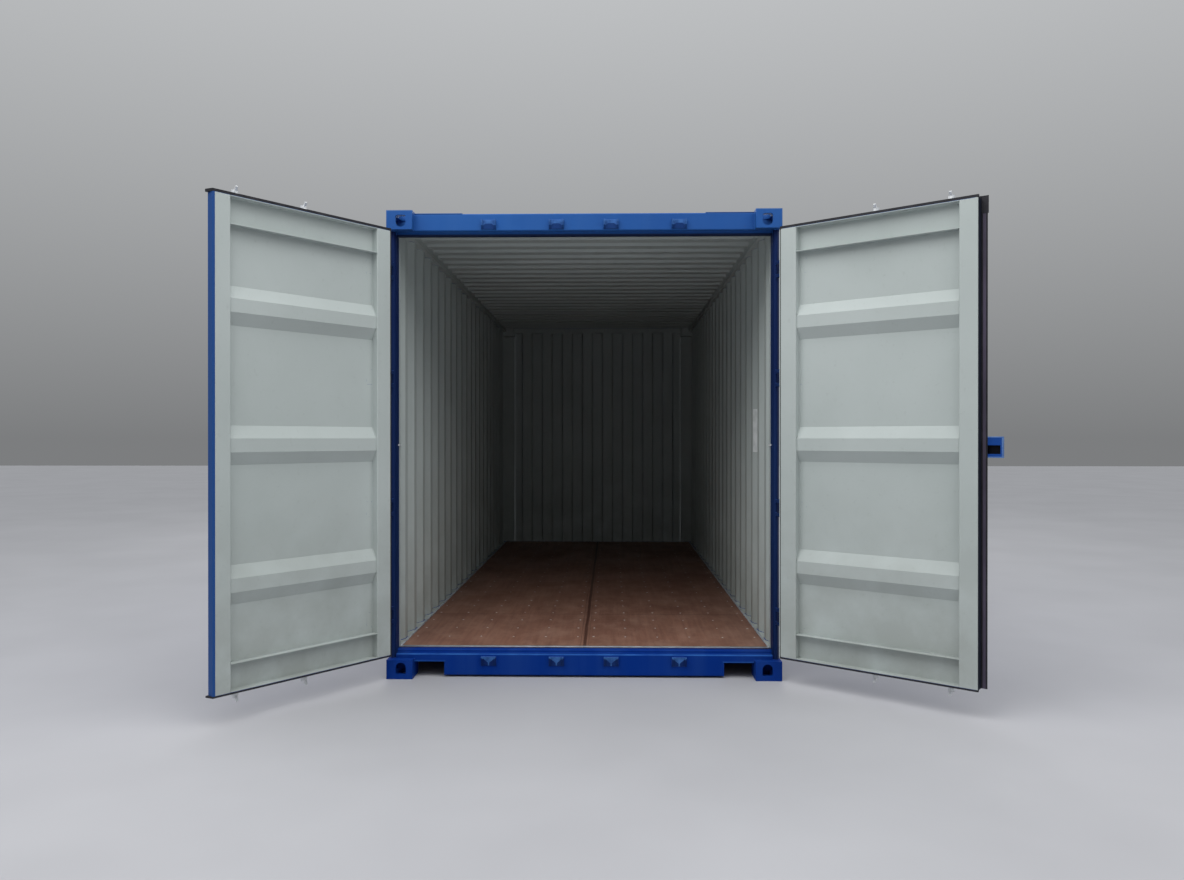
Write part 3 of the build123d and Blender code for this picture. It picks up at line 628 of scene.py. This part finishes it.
def centre_strip():
    """The strip between the boards, as worn as they are, with a dark joint down its middle."""
    n = Nodes("floor_steel")
    colour, grain, _ = wood_colour(n)
    colour = n.tint(colour, n.ramp(n.noise(9, 6), 0.4, 0.7), 0.3, STRIP_WORN)
    wander = n.times(n.minus(n.noise(1.5, 2), 0.5), 0.02)
    joint = n.line(n.math("ADD", n.place["x"], wander), 0.002, 0.021)
    colour = n.tint(colour, joint, 0.85, STRIP_JOINT)
    return n.finish(colour, 0.55, n.bump(grain, 0.2, 0.0008), 0.35)


def sealant():
    n = Nodes("sealant")
    patches = n.ramp(n.noise(22, 5), 0.35, 0.7)
    colour = n.mix(patches, rgb(176, 182, 190), rgb(140, 146, 152))
    return n.finish(colour, 0.6, n.bump(n.noise(90, 3), 0.3, 0.0008), 0.3)


def vent_plastic():
    n = Nodes("vent_plastic")
    patches = n.ramp(n.noise(20, 4), 0.35, 0.7)
    colour = n.mix(patches, rgb(150, 154, 160), rgb(124, 130, 138))
    return n.finish(colour, 0.55, n.bump(n.noise(140, 2), 0.1, 0.0004), 0.3)


def pale_strip():
    n = Nodes("pale_strip")
    patches = n.ramp(n.noise(16, 5), 0.4, 0.75)
    colour = n.mix(patches, rgb(226, 230, 230), rgb(196, 202, 200))
    return n.finish(colour, 0.45, n.bump(n.noise(120, 2), 0.05, 0.0003), 0.4)


# Materials of the nodes
blue = paint("blue_paint")
zinc_material = zinc()
rubber_material = rubber("rubber")
sealant_material = sealant()
lining_material = paint("lining_paint", nowhere)
# The right meeting gasket's lip gets a band of painted highlight
lip_material = rubber("lip_rubber", leaf_edge_mark(LEAVES["right"], -0.012, 0.004))
# Door posts and hinge lugs are painted navy as shade
shaded_door_post_paint = paint("shaded_door_post_paint", door_frame_mask, NAVY_SHADE_BLUES, specular=0.08)
# Cam keepers: painted shade in their dark blues, painted highlight on their upper parts
keeper_highlight_marks = [(keeper_highlight_mark, KEEPER_HIGHLIGHT)]
keeper_lit_and_shaded_paint = paint("keeper_lit_and_shaded_paint", None, KEEPER_SHADED_BLUES, keeper_highlight_marks, 0.1)
end_frame_paint = paint("end_frame_paint", end_frame_mask)
side_rail_paint = paint("side_rail_paint", side_rail_mask)
bottom_rail_paint = paint("bottom_rail_paint", bottom_rail_mask)
# The header's lip and underside get painted shade
header_shade_marks = [(header_lip_shade_mark, HEADER_PAINTED_SHADE)]
# The sill's ledge and notch edges get a painted highlight
sill_highlight_marks = [(sill_highlight_mark, SILL_EDGE_HIGHLIGHT)]
# Lock box: worn rims, and painted shade inside
lock_box_wear_and_shade_marks = [(lock_box_rim_mark, LOCK_BOX_WORN), (lock_box_shade_mark, LOCK_BOX_SHADE)]
# Top castings: worn rims, and a painted highlight inside
casting_wear_and_glint_marks = [(casting_rim_mark, CASTING_WORN), (casting_glint_mark, CASTING_LIT)]
DRESSES = {
    "side_wall_left": paint("left_wall_paint", all_but_facing((1, 0, 0))),
    "side_wall_right": paint("right_wall_paint", all_but_facing((-1, 0, 0))),
    "end_wall": paint("end_wall_paint", all_but_facing((0, -1, 0))),
    "roof_panel": paint("roof_paint", all_but_facing((0, 0, -1))),
    "plywood_floor": plywood(),
    "floor_centre_strip": centre_strip(),
    "ventilators": vent_plastic(),
    "lashing_rings": zinc_material,
    "door_header": paint("door_header_paint", door_frame_mask, BLUES, header_shade_marks, 0.16),
    "door_sill": paint("door_sill_paint", door_frame_mask, SILL_BLUES, sill_highlight_marks, 0.06),
    "door_post_left": shaded_door_post_paint,
    "door_post_right": shaded_door_post_paint,
    "hinge_lugs_left": shaded_door_post_paint,
    "hinge_lugs_right": shaded_door_post_paint,
    "right_door_lock_box": paint("lock_box_paint", None, BLUES, lock_box_wear_and_shade_marks, 0.12),
    "header_cam_keepers": keeper_lit_and_shaded_paint,
    "sill_cam_keepers": keeper_lit_and_shaded_paint,
    "top_corner_fittings": paint("casting_paint", casting_mask, BLUES, casting_wear_and_glint_marks, 0.16),
    "bottom_corner_fittings": paint("low_casting_paint", None, SILL_BLUES, (), 0.06),
    "end_post_left": end_frame_paint,
    "end_post_right": end_frame_paint,
    "end_top_rail": end_frame_paint,
    "end_sill": end_frame_paint,
    "top_side_rail_left": side_rail_paint,
    "top_side_rail_right": side_rail_paint,
    "bottom_side_rail_left": bottom_rail_paint,
    "bottom_side_rail_right": bottom_rail_paint,
}
for leaf in LEAVES.values():
    # Navy on each leaf's hinge edge and blade tips is painted shade
    hinge_shade_mark = (leaf_edge_mark(leaf, 1.150, 1.3), HINGE_SHADE)
    # Each leaf's free edge gets painted shade
    edge_shade_mark = (leaf_edge_mark(leaf, -0.05, 0.024), LEAF_EDGE_SHADES[leaf.name])
    for part, coat, mask, marks in (
        ("stiles", "leaf_paint", leaf_mask(leaf), (edge_shade_mark, hinge_shade_mark)),
        ("rails", "rail_paint", rail_mask(leaf), ()),
        ("panel", "panel_paint", all_but_facing(leaf.inward), ()),
        ("hinge_blades", "blade_paint", None, (hinge_shade_mark,)),
    ):
        DRESSES[f"{leaf.name}_door_{part}"] = paint(f"{leaf.name}_{coat}", mask, BLUES, marks)
for name, node in nodes.items():
    if "gasket" in name:
        DRESSES[name] = lip_material if name.startswith("right") else rubber_material
    elif name.endswith("lock_bar") or "bar_brackets" in name:
        DRESSES[name] = zinc_material
    node.data.materials.clear()
    node.data.materials.append(DRESSES.get(name, blue))


def bevel(name, width):
    """Join a CAD node's facets and round its edges."""
    thing = nodes[name]
    weld = thing.modifiers.new("weld", "WELD")
    weld.merge_threshold = 0.00005
    modifier = thing.modifiers.new("bevel", "BEVEL")
    modifier.width = width
    modifier.segments = 2
    modifier.limit_method = "ANGLE"
    modifier.angle_limit = math.radians(35)


for name, width in (
    ("bottom_corner_fittings", 0.0025),
    ("top_corner_fittings", 0.0025),
    ("header_cam_keepers", 0.0015),
    ("sill_cam_keepers", 0.0015),
    ("hinge_lugs_left", 0.001),
    ("hinge_lugs_right", 0.001),
    ("left_door_hinge_blades", 0.001),
    ("right_door_hinge_blades", 0.001),
    ("left_door_bar_brackets", 0.001),
    ("right_door_bar_brackets", 0.001),
    ("right_door_lock_box", 0.0012),
):
    bevel(name, width)


def square_to(axis):
    """Two directions square to an axis and to each other."""
    side = axis.cross(UP if abs(axis.z) < 0.9 else ACROSS).normalized()
    return side, axis.cross(side)


def ring(middle, side, other, radius, sides, turn=0.0):
    """Points on a circle."""
    angles = [turn + 2 * math.pi * k / sides for k in range(sides)]
    return [middle + (side * math.cos(a) + other * math.sin(a)) * radius for a in angles]


def ring_faces(count, sides):
    """Faces between rings of points, with the last ring closed."""
    faces = []
    for i in range(count - 1):
        for k in range(sides):
            a = i * sides + k
            b = i * sides + (k + 1) % sides
            faces.append((a, b, b + sides, a + sides))
    faces.append(tuple(range((count - 1) * sides, count * sides)))
    return faces


class Pile:
    """Points and faces of many small parts of one kind and body that make one piece."""

    def __init__(self):
        self.points = []
        self.faces = []

    def add(self, points, faces):
        base = len(self.points)
        self.points.extend(points)
        self.faces.extend([tuple(base + i for i in face) for face in faces])

    def block(self, low, high, place=Vector):
        """A block between two corners, in the coordinates that place turns into points."""
        spans = list(zip(low, high))
        corners = [place((x, y, z)) for z in spans[2] for y in spans[1] for x in spans[0]]
        ends = [(0, 2, 3, 1), (4, 5, 7, 6)]
        self.add(corners, ends + [(0, 1, 5, 4), (2, 6, 7, 3), (0, 4, 6, 2), (1, 3, 7, 5)])

    def tube(self, path, radius, step=0.01, ripple=0.12):
        """A weld or sealant bead along a path, with a slightly uneven surface."""
        sides = 6
        path = [Vector(point) for point in path]
        places = []
        for start, end in zip(path, path[1:]):
            count = max(1, round((end - start).length / step))
            places.extend(start.lerp(end, i / count) for i in range(count))
        places.append(path[-1])
        points = []
        for i, place in enumerate(places):
            ahead = places[min(i + 1, len(places) - 1)] - places[max(i - 1, 0)]
            side, rise = square_to(ahead.normalized())
            size = radius * (1 + ripple * random.uniform(-1, 1))
            points.extend(ring(place, side, rise, size, sides))
        self.add(points, [*ring_faces(len(places), sides), tuple(reversed(range(sides)))])

    def stud(self, place, axis, rings, sides, turn=0.0):
        """A bolt or screw: rings of (radius, height) along an axis, closed at the last one."""
        place = Vector(place)
        axis = axis.normalized()
        side, other = square_to(axis)
        points = []
        for radius, height in rings:
            points.extend(ring(place + axis * height, side, other, radius, sides, turn))
        self.add(points, ring_faces(len(rings), sides))

    def bolt(self, place, axis, size):
        """A washer and a hexagon head."""
        washer = size * 1.5
        self.stud(place, axis, [(washer, -0.0005), (washer, 0.0012), (size * 0.9, 0.0015)], 12)
        turn = random.uniform(0, 1)
        self.stud(place, axis, [(size, 0.0010), (size, 0.0045), (size * 0.86, 0.0055)], 6, turn)

    def screw(self, place, axis, size):
        """The flat head of a floor screw."""
        rings = [(size, -0.0005), (size, 0.0004), (size * 0.7, 0.0011), (size * 0.25, 0.0013)]
        self.stud(place, axis, rings, 8)

    def piece(self, name, body, material, smooth=False):
        """Make the mesh, and let it ride on a body."""
        mesh = bpy.data.meshes.new(name)
        mesh.from_pydata([tuple(point) for point in self.points], [], self.faces)
        mesh.update()
        if smooth:
            for polygon in mesh.polygons:
                polygon.use_smooth = True
        mesh.materials.append(material)
        thing = bpy.data.objects.new(name, mesh)
        bpy.context.scene.collection.objects.link(thing)
        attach(thing, body)


def leaf_inner_welds(leaf):
    """Beads where the panel and the rails meet the stiles, on the inner side."""
    at = leaf.place
    inner = Pile()
    step = 0.012
    face = LEAF_FRONT + SHEET + 0.0012
    crest = face + RIB_DEPTH
    low = LEAF_BOTTOM + RAIL
    high = LEAF_TOP - RAIL
    profile = [(face, low)]
    for z in RIB_MIDDLES:
        profile.append((face, z - RIB_HALF - RIB_SLOPE))
        profile.append((crest, z - RIB_HALF))
        profile.append((crest, z + RIB_HALF))
        profile.append((face, z + RIB_HALF + RIB_SLOPE))
    profile.append((face, high))
    web = face + 0.002
    for x, lean in ((STILE_EDGES[0], 0.0012), (STILE_EDGES[1], -0.0012)):
        side = x + lean
        inner.tube([at(side, y, z) for y, z in profile], PLATE_BEAD, step)
        for z0, z1 in ((LEAF_BOTTOM + 0.006, low - 0.006), (high + 0.006, LEAF_TOP - 0.006)):
            inner.tube([at(side, web, z0), at(side, web, z1)], PLATE_BEAD, step)
            for z in (z0 - 0.003, z1 + 0.003):
                inner.tube([at(side, LEAF_BACK - 0.002, z), at(side, web, z)], 0.002, step)
    for z, lean in ((low, 0.0012), (high, -0.0012)):
        inner.tube([at(x, face, z + lean) for x in STILE_EDGES], FINE_BEAD, step)
    inner.piece(f"{leaf.name}_leaf_inner_welds", leaf.body, lining_material, True)


def leaf_outer_welds(leaf):
    """Beads round the hinge blades and the bracket plates, on the outer face."""
    outer = Pile()
    y = LEAF_FRONT - 0.001
    x0, x1, half = HINGE_BLADE
    tip = x1 - HINGE_TIP
    outline = ((x1, -0.030), (tip, -half), (x0, -half), (x0, half), (tip, half), (x1, 0.030))
    for z in HINGE_HEIGHTS:
        outer.tube([leaf.place(x, y, z + rise) for x, rise in outline], FRAME_BEAD)
    for x in BARS.values():
        for z in BRACKET_HEIGHTS:
            for height in (z - 0.030, z + 0.030):
                outer.tube([leaf.place(x + dx, y, height) for dx in (-0.044, 0.044)], FINE_BEAD)
    outer.piece(f"{leaf.name}_leaf_outer_welds", leaf.body, blue, True)


def leaf_bolts(leaf):
    """Bolts of the brackets and of the handle catches."""
    bolts = Pile()
    away = -leaf.inward
    y = LEAF_FRONT - 0.005
    for name, x in BARS.items():
        for z in BRACKET_HEIGHTS:
            for dx in (-0.033, 0.033):
                for dz in (-0.018, 0.018):
                    bolts.bolt(leaf.place(x + dx, y, z + dz), away, 0.0065)
        for dz in (-0.024, 0.024):
            bolts.bolt(leaf.place(x + CATCH_REACH, y, HANDLE_HEIGHTS[name] + dz), away, 0.005)
    bolts.piece(f"{leaf.name}_leaf_bolts", leaf.body, zinc_material)


def handle_hubs(leaf):
    """Collars and pivot bolts where the handles meet the lock bars, and beads at the cams."""
    collar = [(BAR_RADIUS, 0.0), (0.0188, 0.0005), (0.0188, 0.0095), (BAR_RADIUS, 0.010)]
    angles = [k * math.pi / 6 for k in range(13)]
    around = [(BAR_RADIUS * math.cos(a), BAR_RADIUS * math.sin(a)) for a in angles]
    for name, x in BARS.items():
        hub = Pile()
        z = HANDLE_HEIGHTS[name]
        for height in (z - 0.034, z + 0.024):
            hub.stud(leaf.place(x, BAR_INSET, height), UP, collar, 20)
        hub.bolt(leaf.place(x + 0.040, BAR_INSET - 0.0045, z), -leaf.inward, 0.008)
        hub.bolt(leaf.place(x + 0.040, BAR_INSET + 0.0045, z), leaf.inward, 0.008)
        for end in (LEAF_TOP + CAM_ROOT, LEAF_BOTTOM - CAM_ROOT):
            hub.tube([leaf.place(x + dx, BAR_INSET + dy, end) for dx, dy in around], 0.0018)
        body = f"{leaf.name}_{name}_lock_bar"
        hub.piece(f"{leaf.name}_{name}_handle_hub", body, zinc_material)


def meeting_gasket_corner(leaf):
    """The moulded corner piece at the top of the right leaf's meeting gasket."""
    corner = Pile()
    top = LEAF_TOP + 0.0145
    corner.block((-0.0245, 0.0305, LEAF_TOP - 0.078), (0.012, 0.0362, top), leaf.turned)
    corner.block((0.0115, 0.0345, LEAF_TOP + 0.0005), (0.034, 0.0395, top), leaf.turned)
    corner.block((0.034, 0.036, LEAF_TOP + 0.011), (0.100, 0.060, top), leaf.turned)
    corner.piece("right_gasket_corner", leaf.body, rubber_material)


def hinge_strip(leaf):
    """The sealing strip along the right leaf's hinge edge, which closes inside the doorway; all but
    its inward face carry painted shade in navy.
    """
    strip = Pile()
    low = (1.1560, 0.0862, LEAF_BOTTOM + 0.004)
    high = (1.1688, 0.0898, LEAF_TOP - 0.004)
    strip.block(low, high, leaf.turned)
    # Navy here is painted shade
    shaded_strip_paint = paint("shaded_strip_paint", all_but_facing(leaf.inward), NAVY_SHADE_BLUES)
    strip.piece("right_hinge_strip", leaf.body, shaded_strip_paint)


def wall_outside(y):
    """How far from the middle plane the outer surface of a side wall lies, at a place along it."""
    place = (y + WALL_START) % WALL_PITCH
    inset = min((place - WALL_STEPS[0]) / WALL_SLOPE, (WALL_STEPS[3] - place) / WALL_SLOPE)
    return HALF_WIDTH - FRAME_INSET - WALL_DEPTH * min(max(inset, 0.0), 1.0)


def side_welds(welds, side):
    """Beads on one side of the body: castings, sill, header, roof plates, wall and pockets."""
    front = FRAME_FRONT - 0.001
    back = HALF_LENGTH - FRAME_INSET
    shell = side * (HALF_WIDTH - FRAME_INSET)
    edge = side * (HALF_WIDTH - CASTING_WIDTH)

    # Castings to the posts, then to the header, the door sill and the blind end's sill
    for z in (CASTING_HEIGHT + 0.001, HEIGHT - CASTING_HEIGHT - 0.001):
        path = [
            (side * OPENING_HALF, DOOR_END + 0.062, z),
            (side * (OPENING_HALF + 0.006), POST_FRONT, z),
            (side * (HALF_WIDTH - 0.023), POST_FRONT, z),
            (shell, DOOR_END + 0.076, z),
            (shell, DOOR_END + CASTING_LENGTH - 0.002, z),
        ]
        welds.tube(path, CASTING_BEAD)
        path = [
            (side * (HALF_WIDTH - CASTING_WIDTH + 0.002), back, z),
            (shell, back, z),
            (shell, HALF_LENGTH - CASTING_LENGTH + 0.002, z),
        ]
        welds.tube(path, CASTING_BEAD)
    welds.tube([(edge, front, HEIGHT - CASTING_HEIGHT), (edge, front, FRAME_TOP)], CASTING_BEAD)
    welds.tube([(edge, front, 0.100), (edge, front, 0.117)], CASTING_BEAD)
    welds.tube([(edge, back, 0.014), (edge, back, 0.116)], CASTING_BEAD)

    # Door sill and header to the posts
    x = side * (OPENING_HALF - 0.001)
    for z0, z1 in ((0.119, 0.145), (HEIGHT - 0.140, HEIGHT - 0.119)):
        welds.tube([(x, front, z0), (x, front, z1)], FRAME_BEAD)

    # Corner plates on the roof frame
    x0 = side * (HALF_WIDTH - 0.462)
    x1 = side * (HALF_WIDTH - 0.164)
    for y0, y1, z in (
        (FRAME_FRONT + 0.002, DOOR_END + 0.168, HEIGHT - 0.0095),
        (HALF_LENGTH - 0.065, HALF_LENGTH - 0.009, HEIGHT - 0.0075),
    ):
        welds.tube([(x1, y0, z), (x0, y0, z), (x0, y1, z), (x1, y1, z)], 0.0025, 0.015)

    # Side wall to the rails, outside
    corners = [DOOR_END + 0.18]
    for wave in range(WALL_WAVES):
        corners.extend(wave * WALL_PITCH - WALL_START + step for step in WALL_STEPS)
    corners.append(HALF_LENGTH - 0.18)
    for z in (0.1795, HEIGHT - 0.0685):
        path = [(side * (wall_outside(y) + 0.0022), y, z) for y in corners]
        welds.tube(path, FINE_BEAD, 0.03)

    # Straps of the forklift pockets
    x = side * (HALF_WIDTH - 0.0072)
    for middle in POCKET_MIDDLES:
        for y in (middle - POCKET_HALF, middle + POCKET_HALF):
            welds.tube([(x, y, 0.022), (x, y, 0.138)], PLATE_BEAD, 0.012)


def frame_welds():
    """Weld beads of the container's body."""
    welds = Pile()
    for side in (-1, 1):
        side_welds(welds, side)

    # Keepers to the frame
    half_x, half_z = KEEPER_HALVES
    corners = ((-1, -1), (1, -1), (1, 1), (-1, 1), (-1, -1))
    for z in (LEAF_TOP + KEEPER_REACH, LEAF_BOTTOM - KEEPER_REACH):
        for side in (-1, 1):
            for offset in BARS.values():
                x = side * offset
                y = FRAME_FRONT - 0.001
                path = [(x + a * half_x, y, z + b * half_z) for a, b in corners]
                welds.tube(path, PLATE_BEAD)

    # Hinge lugs to the posts
    y = DOOR_END + 0.045
    for side in (-1, 1):
        for z in HINGE_HEIGHTS:
            for height in (z - 0.051, z - 0.031, z + 0.031, z + 0.051):
                path = [(side * 1.183, y, height), (side * 1.194, y, height)]
                welds.tube(path, FINE_BEAD, 0.006)
    welds.piece("frame_welds", "container_body", blue, True)


def sealant_lines():
    """Sealant along the threshold, at the foot of the walls and at their front ends."""
    lines = Pile()
    half = OPENING_HALF - 0.012
    low = (-half, DOOR_END + 0.1465, FLOOR_TOP - 0.001)
    lines.block(low, (half, DOOR_END + 0.182, FLOOR_TOP + 0.0012))
    z = FLOOR_TOP + 0.002
    for side in (-1, 1):
        x = side * (FLOOR_BOX[1].x + 0.003)
        lines.tube([(x, DOOR_END + 0.150, z), (x, FLOOR_BOX[1].y, z)], 0.0065, 0.03, 0.35)
        x = side * (OPENING_HALF + 0.003)
        y = DOOR_END + 0.178
        lines.tube([(x, y, FLOOR_TOP), (x, y, HEIGHT - 0.142)], 0.004, 0.03, 0.3)
    end = FLOOR_BOX[1].y + 0.001
    lines.tube([(-1.15, end, z), (1.15, end, z)], 0.006, 0.03, 0.3)
    lines.piece("sealant_lines", "container_body", sealant_material, True)


def floor_screws():
    """A row of floor screws over each cross member."""
    corners = nodes["cross_members"].data.vertices
    rows = []
    for y in sorted({round(v.co.y, 3) for v in corners if v.co.z > 0.140}):
        if not rows or y - rows[-1] > 0.1:
            rows.append(y)
    screws = Pile()
    for y in rows:
        for side in (-1, 1):
            for i in range(6):
                x = side * (0.052 + i * 0.213) + random.uniform(-0.004, 0.004)
                size = random.choice((0.0055, 0.0065, 0.0075))
                place = (x, y + 0.022 + random.uniform(-0.006, 0.006), FLOOR_TOP)
                screws.screw(place, UP, size)
    screws.piece("floor_screws", "container_body", zinc_material)


def blank_wall_strip():
    """A blank pale strip on one face of the right wall."""
    strip = Pile()
    start = Vector((HALF_WIDTH - 0.0085, -2.2, 0))
    end = Vector((HALF_WIDTH - 0.0435, -2.134, 0))
    along = (end - start).normalized()
    normal = Vector((-along.y, along.x, 0))
    middle = (start + end) / 2 + normal * 0.0008
    low = (-0.030, 0, 1.391)
    high = (0.030, 0.0006, 1.695)
    strip.block(low, high, lambda p: middle + along * p[0] + normal * p[1] + UP * p[2])
    strip.piece("blank_wall_strip", "container_body", pale_strip())


def studio():
    """The floor, the light and the camera."""
    bpy.ops.mesh.primitive_plane_add(size=80)
    floor = bpy.context.object
    floor.name = "studio_floor"
    n = Nodes("studio_floor")
    tone = n.ramp(n.noise(0.7, 3), 0.3, 0.7)
    colour = n.mix(tone, rgb(176, 176, 180), rgb(184, 184, 188))
    n.finish(colour, 0.5, n.bump(n.noise(60, 2), 0.02, 0.0002), 0.4)
    floor.data.materials.append(n.material)

    # Soft light from all round, stronger from above
    world = bpy.data.worlds.new("studio")
    world.use_nodes = True
    tree = world.node_tree
    background = tree.nodes["Background"]
    coordinates = tree.nodes.new("ShaderNodeTexCoord")
    split = tree.nodes.new("ShaderNodeSeparateXYZ")
    ramp = tree.nodes.new("ShaderNodeMapRange")
    for end, value in (("From Min", 0.0), ("From Max", 0.9), ("To Min", 0.24), ("To Max", 1.0)):
        ramp.inputs[end].default_value = value
    tree.links.new(coordinates.outputs["Generated"], split.inputs[0])
    tree.links.new(split.outputs["Z"], ramp.inputs["Value"])
    tree.links.new(ramp.outputs["Result"], background.inputs["Strength"])
    background.inputs["Color"].default_value = (0.84, 0.86, 0.88, 1)
    bpy.context.scene.world = world

    for name, place, aim, power in LAMPS:
        light = bpy.data.lights.new(name, "AREA")
        light.shape = "SQUARE"
        light.size = LAMP_SIZE
        light.energy = power
        lamp = bpy.data.objects.new(name, light)
        bpy.context.scene.collection.objects.link(lamp)
        lamp.location = place
        toward = Vector(aim) - Vector(place)
        lamp.rotation_euler = toward.to_track_quat("-Z", "Y").to_euler()

    camera_data = bpy.data.cameras.new("camera")
    camera_data.sensor_fit = "HORIZONTAL"
    camera_data.sensor_width = SENSOR
    camera_data.lens = FOCAL_PIXELS * SENSOR / FRAME_PIXELS
    camera = bpy.data.objects.new("camera", camera_data)
    bpy.context.scene.collection.objects.link(camera)
    camera.location = CAMERA_PLACE
    camera.rotation_euler = (math.radians(90) + CAMERA_TILT, 0, CAMERA_TURN)
    bpy.context.scene.camera = camera
    bpy.context.scene.view_settings.view_transform = "Standard"


for leaf in LEAVES.values():
    leaf_inner_welds(leaf)
    leaf_outer_welds(leaf)
    leaf_bolts(leaf)
    handle_hubs(leaf)
meeting_gasket_corner(LEAVES["right"])
hinge_strip(LEAVES["right"])
frame_welds()
sealant_lines()
floor_screws()
blank_wall_strip()
studio()
